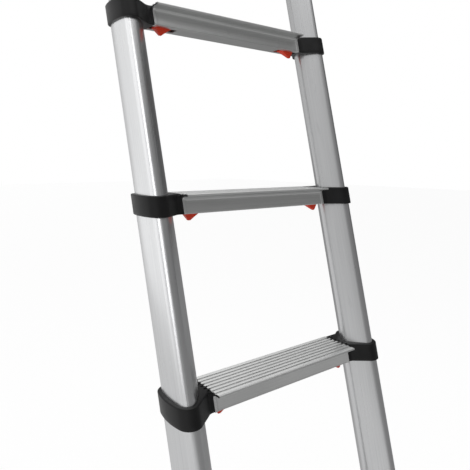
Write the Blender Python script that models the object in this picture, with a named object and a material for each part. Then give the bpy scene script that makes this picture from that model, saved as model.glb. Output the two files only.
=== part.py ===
"""Telescoping ladder with wide treads, modelled open, locked and leaning as it is used.

X runs across the ladder, -Y is the climber's side, +Y is the wall's side and +Z is up. The two stiles
are nests of tubes that slide in each other along one leaning axis. Each section is a tread, the pair of
collars that hold it, and the pair of tubes that hang below them. Spring latches in the treads lock the
next section. Every section's empty sits on the slide axis, at the height of its tread's underside.
"""

from math import asin, cos, pi, radians, sin, tan

import bmesh
import bpy

# The whole ladder, metres
SECTIONS = 7
LEAN = radians(15)
TREAD_PITCH = 0.290
FIRST_TREAD = 0.320
STILE_X = 0.1829

# Stile tube: a rounded triangle whose flat flank faces outwards, given for section 4
TUBE_OUTER_RADIUS = 0.1026
TUBE_OUTER_HALF_ANGLE = radians(13.8)
TUBE_CORNER_RADIUS = 0.0131
TUBE_INNER_RADIUS = 0.1163
TUBE_VERTEX_HALF_ANGLE = radians(33)
TUBE_REFERENCE_SECTION = 4
TUBE_STEP = 0.00213
TUBE_WALL = 0.0015
TUBE_FOOT_CLEARANCE = 0.012
TUBE_OVERLAP = 0.095

# Guide bush moulded round the lower end of each sliding tube
BUSH_PROUD = 0.00033
BUSH_HEIGHT = 0.014

# Collar
GAP = 0.0003
COLLAR_WALL = 0.004
COLLAR_HEIGHT = 0.030
COLLAR_LIP = 0.004
COLLAR_FLARE = 0.0012
NECK_LENGTH = 0.012
NECK_BEND = 0.0015
NECK_BEND_TO_ROOT = 0.009
NECK_FLARE = 0.0095
SPIGOT_LENGTH = 0.032

# Tread extrusion, measured from its lower front edge
TREAD_AHEAD = 0.0177
TREAD_HEIGHT = 0.030
TREAD_DEPTH = 0.061
TREAD_NOSE = 0.011
TREAD_NOSE_THICKNESS = 0.003
FRONT_WALL_TOP = 0.019
TREAD_FLOOR = 0.035
TREAD_WALL = 0.002
TREAD_PLATE = 0.0037
RIB_GROOVES = 7
RIB_PITCH = 0.0086
RIB_GROOVE_WIDTH = 0.0040
RIB_GROOVE_DEPTH = 0.0012

# Latch
TRIGGER_TRAVEL = 0.009
TRIGGER_LENGTH = 0.027
TRIGGER_INSET = 0.007
TRIGGER_WIDTH = 0.016
TRIGGER_DROP = 0.011
TRIGGER_TIP_START = 0.0055
TRIGGER_TIP_LENGTH = 0.004
CLOSED_GAP = 0.005
SLIDER_TOP = 0.017
BOLT_RADIUS = 0.004
BOLT_HEIGHT = 0.012
BOLT_HOLE_RADIUS = 0.0045
BOLT_STANDOFF = 0.0004

# Foot and end cap
FOOT_WALL = 0.0045
FOOT_HEIGHT = 0.048
FOOT_SOLE = 0.006
CAP_HEIGHT = 0.022
CAP_PLUG = 0.014
CAP_SHOULDER = 0.0025
BUMPER_WIDTH = 0.026
BUMPER_BASE = 0.004

SLOPE = tan(LEAN)
RISE = TREAD_PITCH * cos(LEAN)
CUT_MARGIN = 0.003

SATIN_ALUMINIUM = ((0.74, 0.75, 0.76), 0.34, 1.0)
TREAD_ALUMINIUM = ((0.70, 0.71, 0.71), 0.42, 1.0)
BLACK_NYLON = ((0.022, 0.022, 0.024), 0.50, 0.0)
RED_NYLON = ((0.55, 0.035, 0.015), 0.42, 0.0)
BLACK_RUBBER = ((0.018, 0.018, 0.018), 0.80, 0.0)


# Outlines -------------------------------------------------------------------------------------------


def arc(centre, radius, start, end, steps):
    """Points along an arc, without its last one."""
    angles = (start + (end - start) * i / steps for i in range(steps))
    return [(centre[0] + radius * cos(a), centre[1] + radius * sin(a)) for a in angles]


def tube_outline(grow):
    """The tube's section square to the stile, `grow` larger all round than the reference, +X outwards."""
    flank = -TUBE_OUTER_RADIUS
    reach = TUBE_OUTER_RADIUS - TUBE_CORNER_RADIUS
    corner = (flank + reach * cos(TUBE_OUTER_HALF_ANGLE), reach * sin(TUBE_OUTER_HALF_ANGLE))
    swing = TUBE_INNER_RADIUS - TUBE_CORNER_RADIUS
    turn = pi - asin(corner[1] / swing + sin(TUBE_VERTEX_HALF_ANGLE))
    side = (corner[0] - swing * cos(turn), corner[1] - swing * sin(turn))
    vertex_start = pi - TUBE_VERTEX_HALF_ANGLE
    vertex = side[0] + swing * cos(vertex_start)

    half = arc((flank, 0), TUBE_OUTER_RADIUS + grow, 0, TUBE_OUTER_HALF_ANGLE, 2)
    half += arc(corner, TUBE_CORNER_RADIUS + grow, TUBE_OUTER_HALF_ANGLE, turn, 6)
    half += arc(side, TUBE_INNER_RADIUS + grow, turn, vertex_start, 2)
    half += arc((vertex, 0), TUBE_CORNER_RADIUS + grow, vertex_start, pi, 2)
    half.append((vertex - TUBE_CORNER_RADIUS - grow, 0))
    middle = (vertex - TUBE_CORNER_RADIUS) / 2
    back = [(x, -y) for x, y in half[-2:0:-1]]
    return [(x - middle, y) for x, y in half + back]


def tube_grow(section):
    """How much larger than the reference a section's tube is all round."""
    return (TUBE_REFERENCE_SECTION - section) * TUBE_STEP


def inner_edge(section):
    """How far the tube's innermost edge is from the ladder's middle."""
    return STILE_X + min(x for x, _ in tube_outline(tube_grow(section)))


def tread_end(section):
    """Half the tread's length."""
    return inner_edge(section) - NECK_LENGTH


def tread_outline():
    """The tread's outer section as (y, z), from its lower front edge. Its front wall leans with the stile."""
    top = TREAD_HEIGHT
    under = top - TREAD_NOSE_THICKNESS
    first_groove = -0.0025
    points = [(0, 0), (FRONT_WALL_TOP * SLOPE, FRONT_WALL_TOP), (0.004, under - 0.0035)]
    points += [(-0.003, under - 0.0008), (-TREAD_NOSE + 0.0012, under)]
    points += [(-TREAD_NOSE, under + 0.0012), (-TREAD_NOSE, top - 0.0008), (-TREAD_NOSE + 0.0008, top)]
    for groove in range(RIB_GROOVES):
        start = first_groove + groove * RIB_PITCH
        end = start + RIB_GROOVE_WIDTH
        floor = top - RIB_GROOVE_DEPTH
        points += [(start, top), (start, floor), (end, floor), (end, top)]
    points += [(TREAD_DEPTH, top), (TREAD_DEPTH, top - 0.004), (TREAD_DEPTH - 0.003, top - 0.007)]
    return points + [(TREAD_FLOOR, 0)]


def tread_hollow(inset):
    """The hollow inside the tread as (y, z), made smaller by `inset` for the spigot that fills it."""
    low = TREAD_WALL + inset
    high = TREAD_HEIGHT - TREAD_PLATE - inset
    front = low / cos(LEAN)
    back = TREAD_DEPTH - 0.0055 - inset
    return [(front + low * SLOPE, low), (TREAD_FLOOR - 0.001 - inset, low), (back, TREAD_HEIGHT - 0.0072),
            (back, high), (front + high * SLOPE, high)]


# Mesh building --------------------------------------------------------------------------------------


def mesh_object(name, build):
    """An object whose mesh `build` fills, with all faces pointing out."""
    bm = bmesh.new()
    build(bm)
    bmesh.ops.recalc_face_normals(bm, faces=bm.faces)
    mesh = bpy.data.meshes.new(name)
    bm.to_mesh(mesh)
    bm.free()
    obj = bpy.data.objects.new(name, mesh)
    bpy.context.scene.collection.objects.link(obj)
    return obj


def loft(rings):
    """A closed solid through rings of equally many points."""

    def build(bm):
        loops = [[bm.verts.new(point) for point in ring] for ring in rings]
        for low, high in zip(loops, loops[1:]):
            for i, vert in enumerate(low):
                after = (i + 1) % len(low)
                bm.faces.new((vert, low[after], high[after], high[i]))
        bm.faces.new(loops[0])
        bm.faces.new(loops[-1])

    return build


def boolean(obj, tool, operation):
    """Joins the tool to the object or cuts it away, and removes the tool."""
    step = obj.modifiers.new(operation, "BOOLEAN")
    step.operation = operation
    step.solver = "EXACT"
    step.object = tool
    evaluated = obj.evaluated_get(bpy.context.evaluated_depsgraph_get())
    mesh = bpy.data.meshes.new_from_object(evaluated)
    obj.modifiers.clear()
    old = obj.data
    obj.data = mesh
    bpy.data.meshes.remove(old)
    bpy.data.objects.remove(tool)
    mesh.name = obj.name


def cut(obj, build):
    boolean(obj, mesh_object("cutter", build), "DIFFERENCE")


def join(obj, build):
    boolean(obj, mesh_object("addition", build), "UNION")


def stile_ring(side, grow, z):
    """A level cut through the leaning tube at height z, round the stile on this side (+1 right, -1 left)."""
    outline = tube_outline(grow)
    return [(side * (STILE_X + x), y / cos(LEAN) + z * SLOPE, z) for x, y in outline]


def stile_prism(side, grow, low, high):
    """A length of tube-shaped solid along the stile, with level ends."""
    return loft([stile_ring(side, grow, low), stile_ring(side, grow, high)])


def box(low, high):
    """An upright block between two corners."""
    (x0, y0, z0), (x1, y1, z1) = low, high
    plan = [(x0, y0), (x1, y0), (x1, y1), (x0, y1)]
    return loft([[(x, y, z0) for x, y in plan], [(x, y, z1) for x, y in plan]])


def tread_prism(outline, start, end):
    """A (y, z) outline of the tread run along X from start to end."""
    return loft([[(x, y - TREAD_AHEAD, z) for y, z in outline] for x in (start, end)])


def bolt_prism(radius, start, end):
    """A round bar along X at the bolt's place."""
    y = BOLT_HEIGHT * SLOPE
    turns = [2 * pi * i / 16 for i in range(16)]
    return loft([[(x, y + radius * cos(a), BOLT_HEIGHT + radius * sin(a)) for a in turns]
                 for x in (start, end)])


def material(name, look):
    colour, roughness, metallic = look
    made = bpy.data.materials.new(name)
    made.use_nodes = True
    shader = made.node_tree.nodes["Principled BSDF"]
    shader.inputs["Base Color"].default_value = (*colour, 1)
    shader.inputs["Roughness"].default_value = roughness
    shader.inputs["Metallic"].default_value = metallic
    return made


def finish(obj, parent, look, smooth=True):
    """Gives a piece its material, its shading and its place under its parent."""
    obj.data.materials.clear()
    obj.data.materials.append(material(obj.name, look))
    if smooth:
        obj.data.shade_smooth()
        obj.data.set_sharp_from_angle(angle=radians(30))
    obj.parent = parent
    return obj


def empty(name, location, parent=None):
    """A frame that pieces hang from."""
    made = bpy.data.objects.new(name, None)
    bpy.context.scene.collection.objects.link(made)
    made.empty_display_size = 0.03
    made.location = location
    made.parent = parent
    return made


# Pieces, in the frame of their section: X = 0 is the middle, Y = 0 the stile's centre line --------


def tube(section, side, name, parent):
    """A stile tube from inside its own collar down into the tube below, cut level at both ends."""
    grow = tube_grow(section)
    top = COLLAR_HEIGHT - COLLAR_LIP - GAP
    if section == 1:
        bottom = FOOT_SOLE + GAP - FIRST_TREAD
    else:
        bottom = -min(RISE + TUBE_OVERLAP, FIRST_TREAD + (section - 1) * CLOSED_RISE - TUBE_FOOT_CLEARANCE)
    rings = [stile_ring(side, grow, bottom), stile_ring(side, grow, top)]
    if section > 1:
        bush_top = bottom + BUSH_HEIGHT
        rings[0] = stile_ring(side, grow, bush_top + BUSH_PROUD)
        rings = [stile_ring(side, grow + BUSH_PROUD, z) for z in (bottom, bush_top)] + rings
    made = mesh_object(name, loft(rings))
    cut(made, stile_prism(side, grow - TUBE_WALL, bottom - CUT_MARGIN, top + CUT_MARGIN))
    if section < SECTIONS:
        reach = inner_edge(section)
        cut(made, bolt_prism(BOLT_HOLE_RADIUS, side * (reach - CUT_MARGIN), side * (reach + CUT_MARGIN)))
    return finish(made, parent, SATIN_ALUMINIUM)


def neck(section, side):
    """The bracket between a collar's sleeve and the tread's end, as wide as the tread where they meet."""
    end = tread_end(section) + GAP
    bend = inner_edge(section) + NECK_BEND
    root = bend + NECK_BEND_TO_ROOT
    front = -TREAD_AHEAD

    def ring(z, back):
        shift = z * SLOPE
        plan = [(end, front + shift), (bend, front + shift), (root, front - NECK_FLARE + shift)]
        plan += [(root, NECK_FLARE - front + shift), (bend, back - TREAD_AHEAD), (end, back - TREAD_AHEAD)]
        return [(side * x, y, z) for x, y in plan]

    return loft([ring(0, TREAD_FLOOR), ring(COLLAR_HEIGHT, TREAD_DEPTH)])


def collar(section, side, name, parent):
    """The moulding that caps a tube, guides the next one and carries one end of the tread."""
    grow = tube_grow(section)
    wall = grow + COLLAR_WALL
    sleeve = ((-COLLAR_FLARE, 0), (0, COLLAR_FLARE), (0, COLLAR_HEIGHT - COLLAR_FLARE),
              (-COLLAR_FLARE, COLLAR_HEIGHT))
    made = mesh_object(name, loft([stile_ring(side, wall + more, z) for more, z in sleeve]))
    join(made, neck(section, side))
    end = tread_end(section)
    join(made, tread_prism(tread_hollow(GAP), side * (end + CUT_MARGIN), side * (end - SPIGOT_LENGTH)))
    cut(made, stile_prism(side, grow + GAP, -CUT_MARGIN, COLLAR_HEIGHT - COLLAR_LIP))
    through = grow - TUBE_STEP + GAP
    cut(made, stile_prism(side, through, 0, COLLAR_HEIGHT + CUT_MARGIN))
    if section < SECTIONS:
        half = TRIGGER_WIDTH / 2 + GAP
        outer = end - TRIGGER_INSET + GAP
        ends = sorted((side * outer, side * (end - SPIGOT_LENGTH - CUT_MARGIN)))
        cut(made, box((ends[0], -half, -CUT_MARGIN), (ends[1], half, SLIDER_TOP + GAP)))
        cut(made, bolt_prism(BOLT_RADIUS + GAP, side * (outer - CUT_MARGIN), side * (end + 0.02)))
    return finish(made, parent, BLACK_NYLON)


def tread(section, name, parent):
    """The ribbed hollow step, slotted from below at both ends where triggers stick out."""
    end = tread_end(section)
    made = mesh_object(name, tread_prism(tread_outline(), -end, end))
    cut(made, tread_prism(tread_hollow(0), -end - CUT_MARGIN, end + CUT_MARGIN))
    if section < SECTIONS:
        half = TRIGGER_WIDTH / 2 + GAP
        stop = end - TRIGGER_INSET - TRIGGER_LENGTH - TRIGGER_TRAVEL - GAP
        for side in (-1, 1):
            ends = sorted((side * stop, side * (end + CUT_MARGIN)))
            cut(made, box((ends[0], -half, -CUT_MARGIN), (ends[1], half, TREAD_WALL + CUT_MARGIN)))
    return finish(made, parent, TREAD_ALUMINIUM)


def latch(section, side, name, parent):
    """A thumb trigger, its slider and its locking bolt, which all slide along X."""
    outer = tread_end(section) - TRIGGER_INSET
    inner = outer - TRIGGER_LENGTH
    tip = outer - TRIGGER_TIP_START
    profile = [(outer, SLIDER_TOP), (outer, -0.001), (tip, -TRIGGER_DROP)]
    profile += [(tip - TRIGGER_TIP_LENGTH, -TRIGGER_DROP), (inner, 0), (inner, SLIDER_TOP)]
    half = TRIGGER_WIDTH / 2
    made = mesh_object(name, loft([[(side * x - side * outer, y, z) for x, z in profile]
                                   for y in (-half, half)]))
    reach = inner_edge(section + 1) - BOLT_STANDOFF
    join(made, bolt_prism(BOLT_RADIUS, -side * CUT_MARGIN, side * (reach - outer)))
    made.location = (side * outer, 0, 0)
    return finish(made, parent, RED_NYLON)


def foot(side, name, parent):
    """A rubber boot round the lowest tube, with a level sole."""
    grow = tube_grow(1)
    made = mesh_object(name, loft([stile_ring(side, grow + wall, z) for wall, z in (
        (FOOT_WALL + 0.002, 0), (FOOT_WALL + 0.002, 0.009), (FOOT_WALL, 0.014), (FOOT_WALL, FOOT_HEIGHT - 0.001),
        (FOOT_WALL - 0.001, FOOT_HEIGHT))]))
    cut(made, stile_prism(side, grow + GAP, FOOT_SOLE, FOOT_HEIGHT + CUT_MARGIN))
    made.location = (0, -FIRST_TREAD * SLOPE, -FIRST_TREAD)
    return finish(made, parent, BLACK_RUBBER)


def end_cap(side, name, parent):
    """The plug that closes the uppermost tube, with a bumper that meets the wall in a flat upright face."""
    grow = tube_grow(SECTIONS)
    base = COLLAR_HEIGHT + GAP
    top = base + CAP_HEIGHT
    head = grow + CAP_SHOULDER
    made = mesh_object(name, loft([stile_ring(side, wall, z) for wall, z in (
        (head, base), (head, top - 0.006), (head - 0.002, top - 0.002), (head - 0.006, top))]))
    plug = grow - TUBE_STEP
    join(made, stile_prism(side, plug, COLLAR_HEIGHT - COLLAR_LIP - CAP_PLUG, base + CUT_MARGIN))
    low, high = sorted((side * (STILE_X - BUMPER_WIDTH / 2), side * (STILE_X + BUMPER_WIDTH / 2)))
    join(made, box((low, 0.012, base + BUMPER_BASE), (high, CAP_BACK, top - 0.003)))
    return finish(made, parent, BLACK_RUBBER)


# Assembly -------------------------------------------------------------------------------------------

for leftover in list(bpy.data.objects):
    bpy.data.objects.remove(leftover)

# Closed, each tread comes down to just above the one below, with room for the triggers between them
CLOSED_RISE = TREAD_HEIGHT + TRIGGER_DROP + CLOSED_GAP

half_depth = max(y for _, y in tube_outline(0)) / cos(LEAN)
foot_front = half_depth + (tube_grow(1) + FOOT_WALL + 0.002) / cos(LEAN)
CAP_BACK = half_depth + (tube_grow(SECTIONS) + COLLAR_WALL) / cos(LEAN) + COLLAR_HEIGHT * SLOPE + 0.004
top_back = (FIRST_TREAD + (SECTIONS - 1) * RISE) * SLOPE + CAP_BACK
ground_y = (foot_front - top_back) / 2

frame = empty("ladder", (0, ground_y, 0))
for section in range(1, SECTIONS + 1):
    height = FIRST_TREAD + (section - 1) * RISE
    carrier = empty(f"section_{section}", (0, height * SLOPE, height), frame)
    tread(section, f"tread_{section}", carrier)
    for side, hand in ((-1, "left"), (1, "right")):
        tube(section, side, f"{hand}_tube_{section}", carrier)
        collar(section, side, f"{hand}_collar_{section}", carrier)
        if section < SECTIONS:
            latch(section, side, f"{hand}_latch_{section}", carrier)
        if section == 1:
            foot(side, f"{hand}_foot", carrier)
        if section == SECTIONS:
            end_cap(side, f"{hand}_end_cap", carrier)
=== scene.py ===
# %% [markdown]
# # A telescoping ladder, opened and leaning
#
# This lesson gives every piece its true surface: extruded and anodised aluminium, moulded nylon, rubber
# and zinc-plated steel. Each piece is modelled at the place that the frame gives it and then told which
# moving body it travels with.

from math import asin, cos, pi, radians, sin, tan

import bmesh
import bpy
import numpy as np
from mathutils import Matrix, Vector


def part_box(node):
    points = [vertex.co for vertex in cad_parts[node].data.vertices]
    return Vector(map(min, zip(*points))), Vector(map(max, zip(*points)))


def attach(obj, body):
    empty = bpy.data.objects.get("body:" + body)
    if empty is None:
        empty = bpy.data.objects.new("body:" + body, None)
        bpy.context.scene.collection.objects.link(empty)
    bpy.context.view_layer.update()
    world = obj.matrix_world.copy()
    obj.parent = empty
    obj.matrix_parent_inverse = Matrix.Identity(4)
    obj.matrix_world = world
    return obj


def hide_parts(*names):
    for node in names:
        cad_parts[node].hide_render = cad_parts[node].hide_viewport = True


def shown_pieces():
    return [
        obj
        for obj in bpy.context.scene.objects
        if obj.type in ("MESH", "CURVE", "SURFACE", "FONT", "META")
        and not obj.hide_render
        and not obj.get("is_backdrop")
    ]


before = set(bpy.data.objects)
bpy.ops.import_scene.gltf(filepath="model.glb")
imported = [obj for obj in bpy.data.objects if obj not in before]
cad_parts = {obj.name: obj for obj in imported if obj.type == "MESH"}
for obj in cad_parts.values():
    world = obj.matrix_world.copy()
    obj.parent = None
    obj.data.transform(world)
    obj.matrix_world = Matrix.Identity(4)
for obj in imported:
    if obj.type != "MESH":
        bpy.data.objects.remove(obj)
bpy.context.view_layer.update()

# %% [markdown]
# ## The dimensions that everything shares
#
# The real stiles are aluminium tubes of a rounded-triangle section. Each one slides inside the one below,
# so all of them are the same outline grown or shrunk by one step. A handful of numbers, in metres, says
# all of that, and the heights of the treads are read from the frame.

# %% Driving dimensions
SECTIONS = 7
LEAN = radians(15)
SLOPE = tan(LEAN)
STILE_X = 0.1829
SIDES = ((-1, "left"), (1, "right"))

TUBE_OUTER_RADIUS = 0.1026
TUBE_OUTER_HALF_ANGLE = radians(13.8)
TUBE_CORNER_RADIUS = 0.0131
TUBE_INNER_RADIUS = 0.1163
TUBE_VERTEX_HALF_ANGLE = radians(33)
TUBE_STEP = 0.00213
TUBE_WALL = 0.0015

GAP = 0.0003
COLLAR_WALL = 0.004
COLLAR_HEIGHT = 0.030
COLLAR_LIP = 0.004
NECK_LENGTH = 0.012

TREAD_AHEAD = 0.0177
TREAD_HEIGHT = 0.030
TREAD_NOSE = 0.011
TREAD_DEPTH = 0.061
TREAD_FLOOR = 0.035
TREAD_WALL = 0.002
TREAD_PLATE = 0.0037

TRIGGER_TRAVEL = 0.009
TRIGGER_LENGTH = 0.027
TRIGGER_INSET = 0.007
TRIGGER_WIDTH = 0.016
TRIGGER_DROP = 0.011
TRIGGER_TIP_START = 0.0055
TRIGGER_TIP_LENGTH = 0.004
SLIDER_TOP = 0.017
BOLT_RADIUS = 0.004
BOLT_HEIGHT = 0.012
BOLT_HOLE = 0.0045
BOLT_STANDOFF = 0.0004


def level(section):
    """The point on the stiles' centre line at the underside of a section's tread, halfway across."""
    low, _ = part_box(f"tread_{section}")
    return Vector((0, low.y + TREAD_NOSE + TREAD_AHEAD, low.z))


print("tread heights:", [round(level(section).z, 3) for section in range(1, SECTIONS + 1)])

# %% [markdown]
# ## Drawing the tube's outline
#
# A maker would draw the extrusion die as four kinds of arc that meet without a corner: a flat outer
# flank, two tight corners, two gently bowed inner flanks and one rounded inner edge. The same function
# gives every tube, bush, bore and sleeve, because each is that outline grown by a little.

# %% Outline helpers
def arc(centre, radius, start, end, steps):
    """Points along an arc, without its last one."""
    angles = (start + (end - start) * i / steps for i in range(steps))
    return [(centre[0] + radius * cos(a), centre[1] + radius * sin(a)) for a in angles]


def tube_outline(grow):
    """The tube's section square to the stile, +X outwards, from the middle of its outer flank."""
    flank = -TUBE_OUTER_RADIUS
    reach = TUBE_OUTER_RADIUS - TUBE_CORNER_RADIUS
    corner = (flank + reach * cos(TUBE_OUTER_HALF_ANGLE), reach * sin(TUBE_OUTER_HALF_ANGLE))
    swing = TUBE_INNER_RADIUS - TUBE_CORNER_RADIUS
    turn = pi - asin(corner[1] / swing + sin(TUBE_VERTEX_HALF_ANGLE))
    side = (corner[0] - swing * cos(turn), corner[1] - swing * sin(turn))
    vertex_start = pi - TUBE_VERTEX_HALF_ANGLE
    vertex = side[0] + swing * cos(vertex_start)

    half = arc((flank, 0), TUBE_OUTER_RADIUS + grow, 0, TUBE_OUTER_HALF_ANGLE, 5)
    half += arc(corner, TUBE_CORNER_RADIUS + grow, TUBE_OUTER_HALF_ANGLE, turn, 14)
    half += arc(side, TUBE_INNER_RADIUS + grow, turn, vertex_start, 4)
    half += arc((vertex, 0), TUBE_CORNER_RADIUS + grow, vertex_start, pi, 8)
    half.append((vertex - TUBE_CORNER_RADIUS - grow, 0))
    middle = (vertex - TUBE_CORNER_RADIUS) / 2
    back = [(x, -y) for x, y in half[-2:0:-1]]
    return [(x - middle, y) for x, y in half + back]


def tube_grow(section):
    return (4 - section) * TUBE_STEP


def inner_edge(section):
    return STILE_X + min(x for x, _ in tube_outline(tube_grow(section)))


def tread_end(section):
    return inner_edge(section) - NECK_LENGTH


def stile_ring(side, grow, z):
    """A level cut through the leaning tube, z above its tread's underside."""
    return [(side * (STILE_X + x), y / cos(LEAN) + z * SLOPE, z) for x, y in tube_outline(grow)]


print("outline points:", len(tube_outline(0)), "inner edges:", [round(inner_edge(k), 4) for k in (1, 7)])

# %% [markdown]
# ## Wrapping a surface round rings
#
# A leaning tube with level ends isn't something a cylinder primitive can give. A grid can: it has one
# column of points for each point of the outline and one row for each ring, so it is wrapped round the
# rings like a sheet of paper round a rod, its seam is merged, and its ends are closed. Ordinary operators
# and modifiers take over from there.

# %% Wrapping and cutting helpers
MERGE = 0.000005

# How far a tool reaches past the face that it cuts, or into the piece that it joins
TOOL_REACH = 0.003


def deselect():
    bpy.ops.object.select_all(action="DESELECT")


def volume(piece):
    """The piece's volume, which is negative if its faces point inwards."""
    shape = bmesh.new()
    shape.from_mesh(piece.data)
    inside = shape.calc_volume(signed=True)
    shape.free()
    return inside


def wrap(name, rings, ring_of_rings=False):
    """A closed surface round rings of equally many points; a ring of rings joins its last to its first."""
    if ring_of_rings:
        rings = rings + rings[:1]
    columns = len(rings[0])
    deselect()
    bpy.ops.mesh.primitive_grid_add(x_subdivisions=columns, y_subdivisions=len(rings) - 1)
    made = bpy.context.object
    made.name = name
    points = [point for ring in rings for point in ring + ring[:1]]
    made.data.vertices.foreach_set("co", np.array(points, np.float32).ravel())
    bpy.ops.object.mode_set(mode="EDIT")
    bpy.ops.mesh.select_all(action="SELECT")
    bpy.ops.mesh.remove_doubles(threshold=MERGE)
    if not ring_of_rings:
        bpy.ops.mesh.fill_holes(sides=0)
    bpy.ops.mesh.select_all(action="SELECT")
    bpy.ops.mesh.normals_make_consistent(inside=False)
    bpy.ops.object.mode_set(mode="OBJECT")
    if volume(made) < 0:
        made.data.flip_normals()
    return made


def apply_modifier(piece, kind, **values):
    """Adds one modifier with these values and applies it."""
    deselect()
    piece.select_set(True)
    bpy.context.view_layer.objects.active = piece
    modifier = piece.modifiers.new(kind.title(), kind)
    for key, value in values.items():
        setattr(modifier, key, value)
    bpy.ops.object.modifier_apply(modifier=modifier.name)


def boolean(piece, tool, operation):
    """Cuts the tool from the piece, or joins it on, and throws the tool away."""
    apply_modifier(piece, "BOOLEAN", operation=operation, object=tool, solver="EXACT")
    bpy.data.objects.remove(tool)


def bar(name, outline, start, end):
    """An outline of (y, z) points run along X."""
    return wrap(name, [[(x, y, z) for y, z in outline] for x in (start, end)])


def block(name, low, high):
    """A box between two corners, made from a cube primitive."""
    deselect()
    middle = [(a + b) / 2 for a, b in zip(low, high)]
    bpy.ops.mesh.primitive_cube_add(size=1, location=middle, scale=[b - a for a, b in zip(low, high)])
    made = bpy.context.object
    made.name = name
    bpy.ops.object.transform_apply(location=True, rotation=True, scale=True)
    return made


def rod(name, radius, start, end, y, z, sides=32):
    """A round bar along X."""
    deselect()
    bpy.ops.mesh.primitive_cylinder_add(vertices=sides, radius=radius, depth=abs(end - start),
                                        location=((start + end) / 2, y, z), rotation=(0, pi / 2, 0))
    made = bpy.context.object
    made.name = name
    bpy.ops.object.transform_apply(location=True, rotation=True, scale=True)
    return made


def round_edges(piece, width, segments=2, angle=40):
    apply_modifier(piece, "BEVEL", width=width, segments=segments, limit_method="ANGLE",
                   angle_limit=radians(angle), harden_normals=False)


def place(piece, offset):
    """Moves the mesh, and not the object, so that the object stays at the origin."""
    piece.data.transform(Matrix.Translation(offset))


def copy_of(piece, name):
    made = piece.copy()
    made.data = piece.data.copy()
    made.name = name
    bpy.context.scene.collection.objects.link(made)
    return made


def mirror_x(piece):
    """Turns a right-hand piece into a left-hand one."""
    piece.data.transform(Matrix.Scale(-1, 4, (1, 0, 0)))
    piece.data.flip_normals()


def shade(piece, angle=30):
    deselect()
    piece.select_set(True)
    bpy.context.view_layer.objects.active = piece
    bpy.ops.object.shade_smooth_by_angle(angle=radians(angle))


def finish_piece(piece, body, look, nodes=(), angle=30):
    """Smooths a piece, gives it its finish and says which body it rides on and what it stands for."""
    shade(piece, angle)
    piece.data.materials.clear()
    piece.data.materials.append(look)
    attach(piece, body)
    if nodes:
        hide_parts(*nodes)

# %% [markdown]
# ## Finishes
#
# Every finish starts from one shader and a few procedural textures in the piece's own coordinates. Noise
# stretched along one direction gives the drawing marks that an extrusion die leaves, fine round noise
# gives moulded grain, and wide faint noise gives handling marks. The grain is real size, so it is given
# in metres: a scale of 1000 is about one mark to the millimetre.

# %% A small kit for node materials
def new_look(name, colour, roughness, metallic=0.0, **sockets):
    """A material with one Principled shader; returns the material, its nodes, its links and the shader."""
    look = bpy.data.materials.new(name)
    look.use_nodes = True
    nodes, links = look.node_tree.nodes, look.node_tree.links
    shader = nodes["Principled BSDF"]
    shader.inputs["Base Color"].default_value = (*colour, 1)
    shader.inputs["Roughness"].default_value = roughness
    shader.inputs["Metallic"].default_value = metallic
    for socket, value in sockets.items():
        shader.inputs[socket.replace("_", " ")].default_value = value
    return look, nodes, links, shader


def stretched_noise(nodes, links, scale, turn=(0, 0, 0), detail=3.0, roughness=0.55, distortion=0.0):
    """Noise in object coordinates, with its own scale along each axis after a turn."""
    place_node = nodes.new("ShaderNodeTexCoord")
    turn_node = nodes.new("ShaderNodeMapping")
    turn_node.vector_type = "POINT"
    turn_node.inputs["Rotation"].default_value = turn
    scale_node = nodes.new("ShaderNodeMapping")
    scale_node.inputs["Scale"].default_value = scale
    noise = nodes.new("ShaderNodeTexNoise")
    noise.inputs["Scale"].default_value = 1.0
    noise.inputs["Detail"].default_value = detail
    noise.inputs["Roughness"].default_value = roughness
    noise.inputs["Distortion"].default_value = distortion
    links.new(place_node.outputs["Object"], turn_node.inputs["Vector"])
    links.new(turn_node.outputs["Vector"], scale_node.inputs["Vector"])
    links.new(scale_node.outputs["Vector"], noise.inputs["Vector"])
    return noise.outputs["Fac"]


def remap(nodes, links, value, low, high, start=0.3, end=0.7):
    """Stretches a texture's middle range to run from low to high."""
    node = nodes.new("ShaderNodeMapRange")
    node.inputs["From Min"].default_value = start
    node.inputs["From Max"].default_value = end
    node.inputs["To Min"].default_value = low
    node.inputs["To Max"].default_value = high
    links.new(value, node.inputs["Value"])
    return node.outputs["Result"]


def mix_colours(nodes, links, factor, first, second):
    node = nodes.new("ShaderNodeMix")
    node.data_type = "RGBA"
    node.inputs["A"].default_value = (*first, 1) if isinstance(first, tuple) else (0, 0, 0, 1)
    node.inputs["B"].default_value = (*second, 1)
    if not isinstance(first, tuple):
        links.new(first, node.inputs["A"])
    links.new(factor, node.inputs["Factor"])
    return node.outputs["Result"]


def maths(nodes, links, operation, first, second):
    node = nodes.new("ShaderNodeMath")
    node.operation = operation
    for socket, value in zip(node.inputs, (first, second)):
        if isinstance(value, (int, float)):
            socket.default_value = value
        else:
            links.new(value, socket)
    return node.outputs["Value"]


def bumps(nodes, links, shader, *layers):
    """Chains bump layers, each a height socket with a depth in metres, into the shader."""
    previous = None
    for height, depth in layers:
        node = nodes.new("ShaderNodeBump")
        node.inputs["Strength"].default_value = 1.0
        node.inputs["Distance"].default_value = depth
        links.new(height, node.inputs["Height"])
        if previous:
            links.new(previous, node.inputs["Normal"])
        previous = node.outputs["Normal"]
    links.new(previous, shader.inputs["Normal"])

# %% [markdown]
# ### Drawn and anodised aluminium
#
# The stile tubes are drawn through a die and then anodised satin. The die leaves faint lines along the
# tube, and handling leaves short dull scuffs. So the roughness follows long thin noise, turned by the
# ladder's lean, and a second coarse noise makes cloudy patches. The treads have the same finish with
# their lines along X.

# %% Aluminium
ALUMINIUM = (0.80, 0.805, 0.81)


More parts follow.
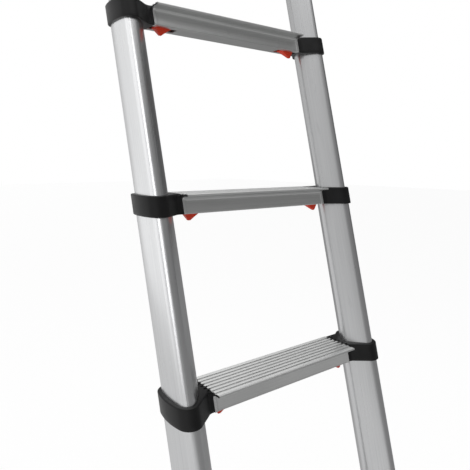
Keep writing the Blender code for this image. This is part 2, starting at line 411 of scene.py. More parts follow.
def aluminium(name, lines, turn, colour, dark, roughness):
    """Satin aluminium whose drawing lines run the way that `lines` is stretched."""
    look, nodes, links, shader = new_look(name, colour, roughness, metallic=1.0)
    streaks = stretched_noise(nodes, links, lines, turn, detail=4.0)
    clouds = stretched_noise(nodes, links, (14, 14, 9), turn, detail=2.0)
    scuffs = stretched_noise(nodes, links, (90, 90, 24), turn, detail=5.0, distortion=0.4)
    grain = stretched_noise(nodes, links, (2600, 2600, 2600), detail=1.0)
    tone = remap(nodes, links, maths(nodes, links, "MULTIPLY", streaks, 1.0), 0.0, 1.0)
    base = mix_colours(nodes, links, tone, dark, colour)
    worn = remap(nodes, links, scuffs, 0.0, 0.35, 0.62, 0.80)
    base = mix_colours(nodes, links, worn, base, tuple(0.86 * c for c in dark))
    links.new(base, shader.inputs["Base Color"])
    dull = remap(nodes, links, clouds, roughness - 0.025, roughness + 0.035)
    dull = maths(nodes, links, "ADD", dull, remap(nodes, links, streaks, -0.03, 0.03))
    dull = maths(nodes, links, "ADD", dull, maths(nodes, links, "MULTIPLY", worn, 0.18))
    links.new(dull, shader.inputs["Roughness"])
    bumps(nodes, links, shader, (streaks, 0.000010), (grain, 0.000006))
    return look


STILE_LINES = (1500, 1500, 7)
TREAD_LINES = (7, 1500, 1500)
tube_finish = aluminium("satin_anodised_tube", STILE_LINES, (LEAN, 0, 0),
                        ALUMINIUM, (0.70, 0.705, 0.715), 0.30)
tread_finish = aluminium("satin_extruded_tread", TREAD_LINES, (0, 0, 0),
                         (0.74, 0.745, 0.74), (0.63, 0.635, 0.63), 0.36)

# %% [markdown]
# ### Moulded nylon, rubber and steel
#
# The collars are glass-filled black nylon with a fine spark-eroded grain, a little polished where hands
# and shoes rub. The triggers are a smoother red nylon. The feet and caps are dull rubber with a powdery
# bloom. The bolts are zinc-plated steel.

# %% Plastics, rubber and plated steel
def moulded(name, colour, light, roughness, grain_size, grain_depth, wear=0.12, **sockets):
    """A moulded plastic or rubber: fine grain, faint mottling and duller, lighter handling marks."""
    look, nodes, links, shader = new_look(name, colour, roughness, **sockets)
    grain = stretched_noise(nodes, links, (grain_size,) * 3, detail=2.0)
    mottle = stretched_noise(nodes, links, (60, 60, 60), detail=4.0)
    marks = stretched_noise(nodes, links, (150, 150, 45), (LEAN, 0.4, 0.3), detail=6.0, distortion=1.2)
    rubbed = remap(nodes, links, marks, 0.0, 1.0, 0.60, 0.78)
    base = mix_colours(nodes, links, remap(nodes, links, mottle, 0.0, 0.6), colour, light)
    base = mix_colours(nodes, links, maths(nodes, links, "MULTIPLY", rubbed, 0.5), base, light)
    links.new(base, shader.inputs["Base Color"])
    dull = remap(nodes, links, mottle, roughness - 0.04, roughness + 0.05)
    dull = maths(nodes, links, "ADD", dull, maths(nodes, links, "MULTIPLY", rubbed, wear))
    links.new(dull, shader.inputs["Roughness"])
    bumps(nodes, links, shader, (grain, grain_depth), (mottle, grain_depth * 1.5))
    return look


def plated(name, colour, roughness):
    """Zinc-plated steel with a faint turned grain round the bolt."""
    look, nodes, links, shader = new_look(name, colour, roughness, metallic=1.0)
    rings = stretched_noise(nodes, links, (3000, 60, 60), detail=2.0)
    patches = stretched_noise(nodes, links, (220, 220, 220), detail=4.0)
    dark = tuple(0.82 * c for c in colour)
    base = mix_colours(nodes, links, remap(nodes, links, patches, 0.0, 1.0), colour, dark)
    links.new(base, shader.inputs["Base Color"])
    links.new(remap(nodes, links, patches, roughness - 0.05, roughness + 0.08), shader.inputs["Roughness"])
    bumps(nodes, links, shader, (rings, 0.000012))
    return look


collar_finish = moulded("black_glass_filled_nylon", (0.003, 0.003, 0.0033), (0.009, 0.009, 0.010),
                        0.33, 1800, 0.000035, Specular_IOR_Level=0.40)
trigger_finish = moulded("red_nylon", (0.82, 0.038, 0.005), (0.86, 0.060, 0.015), 0.36, 1500, 0.000012,
                         Specular_IOR_Level=0.5)
rubber_finish = moulded("black_rubber", (0.014, 0.014, 0.014), (0.035, 0.034, 0.033), 0.70, 1300, 0.00005,
                        Specular_IOR_Level=0.3)
bolt_finish = plated("zinc_plated_steel", (0.62, 0.61, 0.58), 0.30)
print("finishes:", len([m for m in bpy.data.materials if m.use_nodes]))

# %% [markdown]
# ## Stile tubes
#
# Each stile tube is an aluminium extrusion, sawn level and deburred. One closed band of rings runs up
# the outside, over the rim and down the inside, so the wall has its true 1.5 mm thickness and the rims
# catch the light. A tube could also be a filled outline with a Solidify modifier, but then its wall
# wouldn't stay exact where the outline is tightly curved.

# %% Stile tubes and guide bushes
DEBURR = 0.0003
BUSH_HEIGHT = 0.014
BUSH_PROUD = 0.00033


def tube_band(name, side, outer, inner, low, high, soft):
    """A hollow length of the stile's section with softened rims."""
    steps = ((outer - soft, low), (outer, low + soft), (outer, high - soft), (outer - soft, high),
             (inner + soft, high), (inner, high - soft), (inner, low + soft), (inner + soft, low))
    return wrap(name, [stile_ring(side, grow, z) for grow, z in steps], ring_of_rings=True)


for section in range(1, SECTIONS + 1):
    origin = level(section)
    grow = tube_grow(section)
    for side, hand in SIDES:
        node = f"{hand}_tube_{section}"
        low, high = (corner.z - origin.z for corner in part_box(node))
        body = f"section_{section}"
        if section > 1:
            bush = tube_band(f"{hand}_guide_bush_{section}", side, grow + BUSH_PROUD, grow - TUBE_WALL, low,
                             low + BUSH_HEIGHT, DEBURR)
            place(bush, origin)
            finish_piece(bush, body, collar_finish)
            low += BUSH_HEIGHT
        tube = tube_band(f"{hand}_stile_{section}", side, grow, grow - TUBE_WALL, low, high, DEBURR)
        if section < SECTIONS:
            reach = side * inner_edge(section)
            hole = rod("hole", BOLT_HOLE, reach - TOOL_REACH, reach + TOOL_REACH, BOLT_HEIGHT * SLOPE,
                       BOLT_HEIGHT)
            boolean(tube, hole, "DIFFERENCE")
        place(tube, origin)
        finish_piece(tube, body, tube_finish, [node])
print("tubes:", 2 * SECTIONS, "each of about", len(tube.data.polygons), "faces")

# %% [markdown]
# ## Treads
#
# A tread is one hollow extrusion: a leaning front wall, a cove that sweeps forward under the nosing, a
# ribbed top plate and a sloping back. The section is drawn once as a list of points, with short curves at
# every corner, because a die has no sharp corners. It is run along X in a few rings. The rings near the
# ends carry a raised bead on the front wall, where the real one is pressed tight round its plastic insert.

# %% The tread's section
def bezier(*control, steps):
    """Points along a Bezier curve, without its last one."""
    points = []
    for i in range(steps):
        row = [Vector(p) for p in control]
        while len(row) > 1:
            row = [a.lerp(b, i / steps) for a, b in zip(row, row[1:])]
        points.append(tuple(row[0]))
    return points


FRONT_WALL_TOP = 0.019
RIB_GROOVES = 7
RIB_PITCH = 0.0086
RIB_GROOVE_WIDTH = 0.0040
RIB_GROOVE_DEPTH = 0.0012
FIRST_GROOVE = -0.0025
RIB_EASE = 0.0004


def tread_section(bead):
    """The tread's outer section as (y, z) from its lower front edge; bead thickens the front wall."""
    wall = FRONT_WALL_TOP * SLOPE
    top, front = TREAD_HEIGHT, -TREAD_NOSE
    points = bezier((0.0016 - bead, 0), (-bead, 0), (0.0016 * SLOPE - bead, 0.0016), steps=5)
    points += bezier((0.0016 * SLOPE - bead, 0.0016), (wall - bead, FRONT_WALL_TOP), steps=5)
    points += bezier((wall - bead, FRONT_WALL_TOP), (wall + 0.0012, 0.0238), (0.003, 0.0260),
                     (-0.005, 0.0266), steps=12)
    points += bezier((-0.005, 0.0266), (front + 0.0015, 0.0266), steps=2)
    points += bezier((front + 0.0015, 0.0266), (front, 0.0266), (front, 0.0281), steps=5)
    points += bezier((front, 0.0281), (front, top), (front + 0.0019, top), steps=6)
    for groove in range(RIB_GROOVES):
        start = FIRST_GROOVE + groove * RIB_PITCH
        end = start + RIB_GROOVE_WIDTH
        floor = top - RIB_GROOVE_DEPTH
        points += bezier((start - RIB_EASE, top), (start, top), (start, top - RIB_EASE), steps=3)
        points += bezier((start, top - RIB_EASE), (start, floor), (start + RIB_EASE, floor), steps=3)
        points += bezier((end - RIB_EASE, floor), (end, floor), (end, floor + RIB_EASE), steps=3)
        points += bezier((end, top - RIB_EASE), (end, top), (end + RIB_EASE, top), steps=3)
    points += bezier((TREAD_DEPTH - 0.0012, top), (TREAD_DEPTH, top), (TREAD_DEPTH, top - 0.0012), steps=4)
    points += bezier((TREAD_DEPTH, top - 0.0032), (TREAD_DEPTH, top - 0.0045),
                     (TREAD_DEPTH - 0.0022, top - 0.0065), steps=4)
    points += bezier((TREAD_FLOOR + 0.0018, 0.0016), (TREAD_FLOOR, 0), (TREAD_FLOOR - 0.0022, 0), steps=4)
    return points + [(TREAD_FLOOR - 0.0022, 0)]


def tread_hollow(inset):
    """The hollow inside the tread, made smaller by inset for the spigot that fills it."""
    low = TREAD_WALL + inset
    high = TREAD_HEIGHT - TREAD_PLATE - inset
    front = low / cos(LEAN)
    back = TREAD_DEPTH - 0.0055 - inset
    return [(front + low * SLOPE, low), (TREAD_FLOOR - 0.001 - inset, low), (back, TREAD_HEIGHT - 0.0072),
            (back, high), (front + high * SLOPE, high)]


def nosing_slot(inset):
    """The crescent inside the nosing, open at the tread's ends."""
    top, lip = TREAD_HEIGHT - 0.0017 - inset, -TREAD_NOSE + 0.0009 + inset
    under = 0.0270 + inset
    return (bezier((0.0095, top), (lip + 0.0012, top), steps=4)
            + bezier((lip + 0.0012, top), (lip, top), (lip, under), steps=5)
            + bezier((lip, under), (lip + 0.0009, under + 0.0004), (lip + 0.0022, under + 0.0004), steps=4)
            + [(lip + 0.0022, under + 0.0004), (0.0095, under + 0.0004)])


def ahead(outline):
    """Moves an outline from the tread's lower front edge to the stile's centre line."""
    return [(y - TREAD_AHEAD, z) for y, z in outline]


print("tread section:", len(tread_section(0)), "points")

# %% [markdown]
# A tread is modelled once with trigger slots and once without, for the top one. The others are copies
# whose ends are moved outwards, because each tread is a little longer than the one below it.

# %% Treads
BEAD = 0.0008
BEAD_WIDTH = 0.0045
SLOT_DEPTH = 0.012
TRIGGER_HALF = 0.0083
MODEL_SECTION = 1


def tread_piece(name, slotted):
    end = tread_end(MODEL_SECTION)
    stations = [(0.0, 0.8), (0.0002, 1.0), (BEAD_WIDTH, 1.0), (BEAD_WIDTH + 0.0004, 0.75),
                (BEAD_WIDTH + 0.0008, 0.25), (BEAD_WIDTH + 0.0012, 0.0), (0.05, 0.0)]
    rings = [(-end + along, share) for along, share in stations]
    rings += [(end - along, share) for along, share in reversed(stations)]
    tread = wrap(name, [[(x, y, z) for y, z in ahead(tread_section(share * BEAD))] for x, share in rings])
    boolean(tread, bar("hollow", ahead(tread_hollow(0)), -end - 0.01, end + 0.01), "DIFFERENCE")
    for side, hand in SIDES:
        start, stop = sorted((side * (end - SLOT_DEPTH), side * (end + 0.01)))
        boolean(tread, bar("crescent", ahead(nosing_slot(0)), start, stop), "DIFFERENCE")
        if slotted:
            stop = end - TRIGGER_INSET - TRIGGER_LENGTH - TRIGGER_TRAVEL - GAP
            start, stop = sorted((side * stop, side * (end + TOOL_REACH)))
            boolean(tread, block("slot", (start, -TRIGGER_HALF, -TOOL_REACH), (stop, TRIGGER_HALF, 0.005)),
                    "DIFFERENCE")
    return tread


def lengthened(piece, more):
    """Moves each half of a piece outwards, so only its plain middle grows."""
    for vertex in piece.data.vertices:
        vertex.co.x += more if vertex.co.x > 0 else -more


models = {True: tread_piece("slotted_tread", True), False: tread_piece("plain_tread", False)}
for section in range(1, SECTIONS + 1):
    tread = copy_of(models[section < SECTIONS], f"tread_extrusion_{section}")
    lengthened(tread, tread_end(section) - tread_end(MODEL_SECTION))
    place(tread, level(section))
    finish_piece(tread, f"section_{section}", tread_finish, [f"tread_{section}"],
                 angle=24)
for model in models.values():
    bpy.data.objects.remove(model)
print("tread:", len(tread.data.polygons), "faces")

# %% [markdown]
# ## Collars
#
# A collar is one moulding: a sleeve that caps one tube and guides the next, and a neck that sweeps from
# the sleeve into the tread's end. Its plan is the tube's outline grown by the wall, cut short where a
# straight flank in front and an S-curve behind lead into the neck. Stacking that plan in rings gives
# softly rounded rims, a broader shoulder on the neck, and the stile's lean, which a plain extrusion
# wouldn't. The bores, the channel for the trigger and the ribs are then cut or joined as in a mould.

# %% The collar's plan
CORNER_START = 5
FLANK_POINTS = 22
NECK_CURVE = 0.005
NECK_BEND = 0.0015
NECK_SET_BACK = 0.0012
FLANK_ANGLE = radians(38)
FLANK_FILLET = 0.0035


def point_along(points, length):
    """The point at this length along a polyline."""
    for a, b in zip(points, points[1:]):
        step = (b - a).length
        if length <= step:
            return a.lerp(b, length / step)
        length -= step
    return points[-1]


def resample(points, length, count):
    """Evenly spaced points along a polyline up to a length, without its last one."""
    return [point_along(points, length * n / count) for n in range(count)]


def curved_flank(flank, neck_y, bend):
    """From the sleeve's back corner along its inner flank and round in an S-curve to the neck's back."""
    lengths = [0.0]
    for a, b in zip(flank, flank[1:]):
        lengths.append(lengths[-1] + (b - a).length)
    nose = max(range(len(flank)), key=lambda i: flank[i].y)
    leave, meet = lengths[nose], flank[nose]
    for i in range(nose, len(flank) - 1):
        above, below = flank[i].y - neck_y, flank[i + 1].y - neck_y
        if above >= 0 > below:
            share = above / (above - below)
            meet = flank[i].lerp(flank[i + 1], share)
            leave = max(lengths[i] + share * (lengths[i + 1] - lengths[i]) - NECK_CURVE, lengths[nose])
    side = resample(flank, leave, FLANK_POINTS)
    start, before = point_along(flank, leave), point_along(flank, leave - 0.0005)
    neck = Vector((min(meet.x - NECK_CURVE, bend), neck_y))
    handle = 0.36 * (start - neck).length
    ahead_of = start + (start - before).normalized() * handle
    curve = bezier(start, ahead_of, neck + Vector((handle, 0)), neck, steps=10)
    return side + [Vector(p) for p in curve] + [neck]


def straight_flank(flank, neck_y):
    """From the sleeve's nose straight to the neck's front at a fixed angle, with a fillet."""
    way = Vector((-cos(FLANK_ANGLE), sin(FLANK_ANGLE)))
    outward = Vector((-sin(FLANK_ANGLE), -cos(FLANK_ANGLE)))
    leave = max(range(len(flank)), key=lambda i: flank[i].dot(outward))
    start = flank[leave]
    corner = start + way * ((neck_y - start.y) / way.y)
    length = sum((b - a).length for a, b in zip(flank[:leave], flank[1:leave + 1]))
    side = resample(flank, length, FLANK_POINTS)
    turn, neck = corner - way * FLANK_FILLET, corner - Vector((FLANK_FILLET, 0))
    straight = [start.lerp(turn, n / 5) for n in range(5)]
    fillet = bezier(turn, turn.lerp(corner, 0.6), neck.lerp(corner, 0.6), neck, steps=6)
    return side + straight + [Vector(p) for p in fillet] + [neck]


def collar_plan(section, z, soft, shoulder):
    """The right collar's outline at one height, its rim pulled in by soft, and by shoulder at the neck."""
    outline = [Vector((STILE_X + x, y / cos(LEAN) + z * SLOPE))
               for x, y in tube_outline(tube_grow(section) + COLLAR_WALL - soft)]
    end = tread_end(section) + GAP
    back = (TREAD_FLOOR + (TREAD_DEPTH - TREAD_FLOOR) * z / COLLAR_HEIGHT) - TREAD_AHEAD - shoulder
    front = -TREAD_AHEAD + z * SLOPE + NECK_SET_BACK + shoulder
    half = len(outline) // 2
    rear_flank = outline[CORNER_START:half + 1]
    front_flank = (outline[half:] + outline[:1])[::-1][CORNER_START:]
    bend = inner_edge(section) + NECK_BEND
    rear = curved_flank(rear_flank, back, bend)
    fore = straight_flank(front_flank, front)
    face = [Vector((end, back)).lerp(Vector((end, front)), i / 6) for i in range(7)]
    outer = outline[-CORNER_START + 1:] + outline[:CORNER_START]
    return [(p.x, p.y, z) for p in outer + rear + face + fore[::-1]]


RIM = 0.0016
SHOULDER = 0.0034


def rounded(radius, depth):
    """How far a rim of this radius is pulled in at a depth below its top."""
    if depth >= radius:
        return 0.0
    return radius - (radius ** 2 - (radius - depth) ** 2) ** 0.5


def collar_shell(section):
    depths = [0.0, 0.0002, 0.0006, 0.0011, 0.0016, 0.0024, 0.0034]
    rings = [collar_plan(section, d, rounded(RIM, d), rounded(RIM, d) * 0.5) for d in depths[:5]]
    rings += [collar_plan(section, z, 0, 0) for z in (0.006, 0.011, 0.016, 0.021)]
    rings += [collar_plan(section, COLLAR_HEIGHT - d, rounded(RIM, d), rounded(SHOULDER, d))
              for d in reversed(depths)]
    return wrap("collar", rings)


print("collar plan:", len(collar_plan(1, 0, 0, 0)), "points")

# %% [markdown]
# The neck's top carries small ribs that run on into the tread's grooves and lock the two together, and a
# thin tongue fills the crescent inside the nosing. Both are joined to the shell while it is still solid.

# %% Collars
SPIGOT_LENGTH = 0.032
TONGUE_LENGTH = 0.006
TONGUE_PROUD = 0.0009
TONGUE_GAP = 0.0002
RIB_INTO_TREAD = 0.0025
RIB_ON_NECK = 0.0062
RIB_GAP = 0.0002
POCKET_START = 0.0014
POCKET_EDGE = 0.0008
POCKET_DEPTH = 0.0010


def tapered_bore(name, grow, low, high):
    return wrap(name, [stile_ring(1, grow, z) for z in (low, high)])


def collar_piece(section, name):
    """The right-hand collar of a section."""
    grow = tube_grow(section)
    end = tread_end(section)
    collar = collar_shell(section)
    collar.name = name
    boolean(collar, bar("spigot", ahead(tread_hollow(GAP)), end - SPIGOT_LENGTH, end + TOOL_REACH), "UNION")
    tongue = bar("tongue", ahead(nosing_slot(TONGUE_GAP)), end - TONGUE_LENGTH, end + TONGUE_PROUD)
    boolean(collar, tongue, "UNION")
    top = COLLAR_HEIGHT
    for groove in range(1, RIB_GROOVES):
        low = FIRST_GROOVE + groove * RIB_PITCH + RIB_GAP - TREAD_AHEAD
        high = low + RIB_GROOVE_WIDTH - 2 * RIB_GAP
        if groove > 1:
            rib = block("rib", (end - RIB_INTO_TREAD, low, top - 0.0011), (end + 0.001, high, top - 0.0001))
            boolean(collar, rib, "UNION")
        if groove < RIB_GROOVES - 1:
            pocket = block("pocket", (end + POCKET_START, high + POCKET_EDGE, top - POCKET_DEPTH),
                           (end + RIB_ON_NECK, low + RIB_PITCH - POCKET_EDGE, top + 0.002))
            boolean(collar, pocket, "DIFFERENCE")
    boolean(collar, tapered_bore("tube_bore", grow + GAP, -TOOL_REACH, top - COLLAR_LIP), "DIFFERENCE")
    boolean(collar, tapered_bore("lip_bore", grow - TUBE_STEP + GAP, 0, top + TOOL_REACH), "DIFFERENCE")
    if section < SECTIONS:
        outer = end - TRIGGER_INSET + GAP
        channel = block("channel", (end - SPIGOT_LENGTH - TOOL_REACH, -TRIGGER_HALF, -TOOL_REACH),
                        (outer, TRIGGER_HALF, SLIDER_TOP + GAP))
        boolean(collar, channel, "DIFFERENCE")
        bore = rod("bolt_bore", BOLT_RADIUS + GAP, outer - TOOL_REACH, end + 0.02, BOLT_HEIGHT * SLOPE,
                   BOLT_HEIGHT)
        boolean(collar, bore, "DIFFERENCE")
    return collar


for section in range(1, SECTIONS + 1):
    right = collar_piece(section, f"right_collar_moulding_{section}")
    left = copy_of(right, f"left_collar_moulding_{section}")
    mirror_x(left)
    for collar, hand in ((right, "right"), (left, "left")):
        place(collar, level(section))
        finish_piece(collar, f"section_{section}", collar_finish,
                     [f"{hand}_collar_{section}"], angle=34)
    print(f"collar {section}:", len(right.data.polygons), "faces,", round(volume(right) * 1e6, 1), "cm3")

# %% [markdown]
# ## Triggers and lock bolts
#
# Each trigger is a red moulding that the thumb pulls towards the middle of the tread. Its slider is a block
# inside the tread. Its lug hangs below the tread, and it has a steep outer side, a small flat tip and a
# sloping thumb face with grip grooves. A Bevel modifier rounds both as a mould would before they are
# joined. The bolt is a turned steel pin with a chamfered nose, which the slider carries into the tubes.

# %% Triggers and bolts
LUG_SIDES = (-0.0077, 0.0052)
LUG_TIP_SIDES = (-0.0070, -0.0030)
LUG_START, LUG_END = -0.0008, -TRIGGER_LENGTH + 0.003
LUG_ROOT = 0.003
GRIP_RADIUS = 0.0006
GRIP_LENGTH = 0.03
BOLT_CHAMFER = 0.0010
BOLT_SIDES = 40


def trigger_piece(name):
    """The right-hand trigger; x is measured from its outer side."""
    tip = -TRIGGER_TIP_START
    half = TRIGGER_WIDTH / 2
    trigger = block(name, (-TRIGGER_LENGTH, -half, 0), (0, half, SLIDER_TOP))
    round_edges(trigger, 0.0009, segments=3)
    levels = ((LUG_ROOT, LUG_END, LUG_START, LUG_SIDES), (-0.001, LUG_END, LUG_START, LUG_SIDES),
              (-TRIGGER_DROP, tip - TRIGGER_TIP_LENGTH, tip, LUG_TIP_SIDES))
    lug = wrap("lug", [[(low, front, z), (high, front, z), (high, rear, z), (low, rear, z)]
                       for z, low, high, (front, rear) in levels])
    round_edges(lug, 0.0011, segments=3)
    first, last = Vector((tip - TRIGGER_TIP_LENGTH, -TRIGGER_DROP)), Vector((LUG_END, -0.001))
    for share in (0.30, 0.48, 0.66):
        spot = first.lerp(last, share)
        deselect()
        bpy.ops.mesh.primitive_cylinder_add(vertices=12, radius=GRIP_RADIUS, depth=GRIP_LENGTH,
                                            location=(spot.x, 0, spot.y), rotation=(pi / 2, 0, 0))
        boolean(lug, bpy.context.object, "DIFFERENCE")
    boolean(trigger, lug, "UNION")
    return trigger


def bolt_piece(name, reach):
    """A pin with a chamfered nose; x is measured from the slider's outer side."""
    y, z = BOLT_HEIGHT * SLOPE, BOLT_HEIGHT
    steps = ((BOLT_RADIUS, 0.0002), (BOLT_RADIUS, reach - BOLT_CHAMFER), (BOLT_RADIUS - BOLT_CHAMFER, reach))
    turns = [2 * pi * i / BOLT_SIDES for i in range(BOLT_SIDES)]
    rings = [[(x, y + radius * cos(turn), z + radius * sin(turn)) for turn in turns] for radius, x in steps]
    return wrap(name, rings)


bolt_reach = inner_edge(2) - BOLT_STANDOFF - (tread_end(1) - TRIGGER_INSET)
trigger_model, bolt_model = trigger_piece("trigger"), bolt_piece("bolt", bolt_reach)
for section in range(1, SECTIONS):
    for side, hand in SIDES:
        trigger = copy_of(trigger_model, f"{hand}_thumb_trigger_{section}")
        bolt = copy_of(bolt_model, f"{hand}_lock_bolt_{section}")
        offset = level(section) + Vector((side * (tread_end(section) - TRIGGER_INSET), 0, 0))
        for piece in (trigger, bolt):
            if side < 0:
                mirror_x(piece)
            place(piece, offset)
        finish_piece(trigger, f"{hand}_latch_{section}", trigger_finish,
                     [f"{hand}_latch_{section}"], angle=35)
        finish_piece(bolt, f"{hand}_latch_{section}", bolt_finish)
for model in (trigger_model, bolt_model):
    bpy.data.objects.remove(model)
print("triggers:", 2 * (SECTIONS - 1), "bolt length:", round(bolt_reach, 4))

# %% [markdown]
# ## Feet and end caps
#
# A rubber boot grips each lowest tube. It has a thick sole with grooves across the direction of slip, a
# step above the sole and a rolled rim. An end cap plugs each top tube, and its ribbed pad meets the wall.
# Both are rings like the tubes, because they follow the same outline, and their soles and pads are cut
# with plain blocks.

# %% Feet
FOOT_HEIGHT = 0.048
FOOT_SOLE = 0.006
FOOT_BANDS = (0.024, 0.029, 0.034)
FIRST_TREAD = level(1).z


def foot_piece(name):
    grow = tube_grow(1)
    band_steps = [(wall, middle + rise) for middle in FOOT_BANDS
                  for wall, rise in ((0.0045, -0.0008), (0.0040, -0.0005),
                                     (0.0040, 0.0005), (0.0045, 0.0008))]
    steps = ((0.0050, 0), (0.0062, 0.0004), (0.0065, 0.0014), (0.0065, 0.0085), (0.0060, 0.0100),
             (0.0048, 0.0135), (0.0045, 0.0150), *band_steps,
             (0.0045, 0.0420), (0.0050, 0.0428), (0.0052, 0.0440), (0.0052, 0.0464),
             (0.0048, 0.0476), (0.0038, FOOT_HEIGHT))
    foot = wrap(name, [stile_ring(1, grow + wall, z) for wall, z in steps])
    boolean(foot, tapered_bore("socket", grow + GAP, FOOT_SOLE, FOOT_HEIGHT + TOOL_REACH), "DIFFERENCE")
    for step in range(-4, 5):
        middle = step * 0.009
        groove = block("groove", (STILE_X - 0.05, middle - 0.0013, -0.002),
                       (STILE_X + 0.05, middle + 0.0013, 0.0018))
        boolean(foot, groove, "DIFFERENCE")
    return foot


ground = level(1) - Vector((0, FIRST_TREAD * SLOPE, FIRST_TREAD))
right = foot_piece("right_rubber_foot")
left = copy_of(right, "left_rubber_foot")
mirror_x(left)
for foot, hand in ((right, "right"), (left, "left")):
    place(foot, ground)
    finish_piece(foot, "section_1", rubber_finish, [f"{hand}_foot"], angle=35)
print("foot:", len(right.data.polygons), "faces")

# %% End caps
CAP_HEIGHT = 0.022
CAP_PLUG = 0.014
CAP_SHOULDER = 0.0025
BUMPER_WIDTH = 0.026
BUMPER_BASE = 0.004


def cap_piece(name, back):
    grow = tube_grow(SECTIONS)
    base = COLLAR_HEIGHT + GAP
    top = base + CAP_HEIGHT
    head = grow + CAP_SHOULDER
    steps = ((head - 0.0008, base), (head, base + 0.0008), (head, top - 0.0062),
             (head - 0.0006, top - 0.0038), (head - 0.0020, top - 0.0018), (head - 0.0042, top - 0.0005),
             (head - 0.0070, top))
    cap = wrap(name, [stile_ring(1, wall, z) for wall, z in steps])
    plug_ends = (COLLAR_HEIGHT - COLLAR_LIP - CAP_PLUG, base + TOOL_REACH)
    plug = [stile_ring(1, grow - TUBE_STEP, z) for z in plug_ends]
    boolean(cap, wrap("plug", plug), "UNION")
    low, high = STILE_X - BUMPER_WIDTH / 2, STILE_X + BUMPER_WIDTH / 2
    pad = block("pad", (low, 0.012, base + BUMPER_BASE), (high, back, top - 0.003))
    round_edges(pad, 0.0015, segments=3)
    boolean(cap, pad, "UNION")
    for step in range(-2, 3):
        middle = STILE_X + step * 0.0046
        groove = block("groove", (middle - 0.0007, back - 0.0012, base), (middle + 0.0007, back + 0.002, top))
        boolean(cap, groove, "DIFFERENCE")
    return cap


cap_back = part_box("right_end_cap")[1].y - level(SECTIONS).y
right = cap_piece("right_top_cap", cap_back)
left = copy_of(right, "left_top_cap")
mirror_x(left)
for cap, hand in ((right, "right"), (left, "left")):
    place(cap, level(SECTIONS))
    finish_piece(cap, f"section_{SECTIONS}", rubber_finish, [f"{hand}_end_cap"], angle=35)
print("end cap:", len(right.data.polygons), "faces, back at", round(cap_back, 4))

# %% [markdown]
# ## Floor, light and camera
#
# The ladder stands on a floor that the camera sees plain white and that runs back to a white surround.
# Metal shows what it mirrors, so what the metal sees is graded: bright on the left and deep grey on the
# right, which gives the inner flanks their depth. Where the metal mirrors the floor, the floor is painted
# shade: a glow that dims towards the right. Large soft panels do the rest, and light linking keeps each
# one on the pieces that it is meant for, as a flag would in a studio.

# %% Floor
deselect()
bpy.ops.mesh.primitive_plane_add(size=40, location=(0, 8, 0))
floor = bpy.context.object
floor.name = "floor"
floor_look, nodes, links, shader = new_look("white_floor", (0.42, 0.42, 0.42), 0.8)
shader.inputs["Emission Color"].default_value = (1, 1, 1, 1)
shader.inputs["Emission Strength"].default_value = 0.72
# For every ray but the camera's, the floor is a glow that is painted dimmer towards +X. This is painted
# shade, so the metal mirrors a darker floor on the right.
coordinates = nodes.new("ShaderNodeTexCoord")
split = nodes.new("ShaderNodeSeparateXYZ")
links.new(coordinates.outputs["Object"], split.inputs["Vector"])
painted_shade_glow = nodes.new("ShaderNodeEmission")
links.new(remap(nodes, links, split.outputs["X"], 0.66, 0.24, -0.5, 1.2), painted_shade_glow.inputs["Strength"])
ray = nodes.new("ShaderNodeLightPath")
choose = nodes.new("ShaderNodeMixShader")
links.new(ray.outputs["Is Camera Ray"], choose.inputs[0])
links.new(painted_shade_glow.outputs["Emission"], choose.inputs[1])
links.new(shader.outputs["BSDF"], choose.inputs[2])
links.new(choose.outputs["Shader"], nodes["Material Output"].inputs["Surface"])
floor.data.materials.append(floor_look)
floor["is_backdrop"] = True

# %% [markdown]
# The surround is plain white where the camera sees it. What the metal mirrors is graded: bright on the
# left, deep grey on the right and softly bright overhead, as white walls and black cards would give.

# %% Surround
world = bpy.data.worlds.new("studio")
bpy.context.scene.world = world
world.use_nodes = True
nodes, links = world.node_tree.nodes, world.node_tree.links
direction = nodes.new("ShaderNodeTexCoord").outputs["Generated"]


def facing_amount(towards, start, end, low, high):
    """How bright the surround is towards a direction, between two cosines."""
    node = nodes.new("ShaderNodeVectorMath")
    node.operation = "DOT_PRODUCT"
    node.inputs[1].default_value = towards
    links.new(direction, node.inputs[0])
    ranged = nodes.new("ShaderNodeMapRange")
    ranged.interpolation_type = "SMOOTHSTEP"
    for socket, value in zip(ranged.inputs[1:5], (start, end, low, high)):
        socket.default_value = value
    links.new(node.outputs["Value"], ranged.inputs["Value"])
    return ranged.outputs["Result"]


side_light = facing_amount((-0.87, 0.5, 0), -0.45, 0.40, 0.10, 0.66)
overhead = facing_amount((0, 0, 1), 0.45, 0.95, 0.0, 0.60)
in_front = facing_amount((0.35, -0.94, 0), 0.2, 0.9, 0.0, 0.16)
lit = nodes.new("ShaderNodeBackground")
total = maths(nodes, links, "ADD", side_light, maths(nodes, links, "ADD", overhead, in_front))
links.new(total, lit.inputs["Strength"])
seen = nodes["Background"]
seen.inputs["Color"].default_value = (1, 1, 1, 1)
ray = nodes.new("ShaderNodeLightPath")
choose = nodes.new("ShaderNodeMixShader")
links.new(ray.outputs["Is Camera Ray"], choose.inputs[0])
links.new(lit.outputs["Background"], choose.inputs[1])
links.new(seen.outputs["Background"], choose.inputs[2])
links.new(choose.outputs["Shader"], nodes["World Output"].inputs["Surface"])

# %% [markdown]
# The strip in front draws the bright line down the left stile's nose. The side and rear panels lift its
# outer flank towards that line. The treads have one panel for their tops and a low one for their fronts.

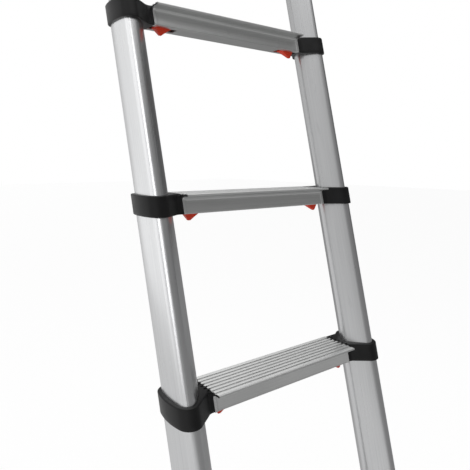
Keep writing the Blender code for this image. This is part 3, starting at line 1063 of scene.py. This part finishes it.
# %% Lights and camera
def panel(name, location, target, size, power):
    """A soft rectangular light aimed at a point."""
    light = bpy.data.lights.new(name, "AREA")
    light.shape = "RECTANGLE"
    light.size, light.size_y = size
    light.energy = power
    made = bpy.data.objects.new(name, light)
    bpy.context.scene.collection.objects.link(made)
    made.location = location
    made.rotation_euler = (Vector(target) - Vector(location)).to_track_quat("-Z", "Y").to_euler()
    made.visible_camera = False
    return made


def lit_only(light, start_of_name):
    """Keeps a light on the pieces whose names start this way, as a flag beside it would."""
    group = bpy.data.collections.new(light.name + "_lights")
    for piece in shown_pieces():
        if piece.name.startswith(start_of_name):
            group.objects.link(piece)
    light.light_linking.receiver_collection = group


STILE_CENTRE = (-0.19, 0, 1.2)
TREAD_CENTRE = (0, 0, 1.1)
lit_only(panel("left_front_strip", (-1.9, -2.1, 2.25), STILE_CENTRE, (1.1, 2.4), 15), "left_stile")
lit_only(panel("left_side_panel", (-2.6, 0.1, 2.2), STILE_CENTRE, (2.4, 3.6), 17), "left_stile")
lit_only(panel("left_rear_panel", (-1.7, 1.9, 1.6), STILE_CENTRE, (2.4, 2.6), 8), "left_stile")
lit_only(panel("tread_top_panel", (1.3, 1.9, 2.1), TREAD_CENTRE, (1.6, 1.2), 5), "tread")
lit_only(panel("tread_front_panel", (1.6, -2.1, 0.95), (0, 0, 0.9), (1.8, 0.9), 1.5), "tread")
panel("top_panel", (0.2, -0.4, 3.6), TREAD_CENTRE, (2.4, 2.4), 12)

CAMERA_PLACE = Vector((-0.49124, -0.56601, 1.23652))
CAMERA_AIM = Vector((0.58537, 0.79589, -0.15460))
camera = bpy.data.objects.new("camera", bpy.data.cameras.new("camera"))
bpy.context.scene.collection.objects.link(camera)
camera.location = CAMERA_PLACE
camera.rotation_euler = CAMERA_AIM.to_track_quat("-Z", "Y").to_euler()
camera.data.lens = 35.71
camera.data.sensor_width = 36
camera.data.clip_start = 0.02
bpy.context.scene.camera = camera
bpy.context.scene.view_settings.view_transform = "Standard"
print("camera:", [round(v, 3) for v in CAMERA_PLACE])
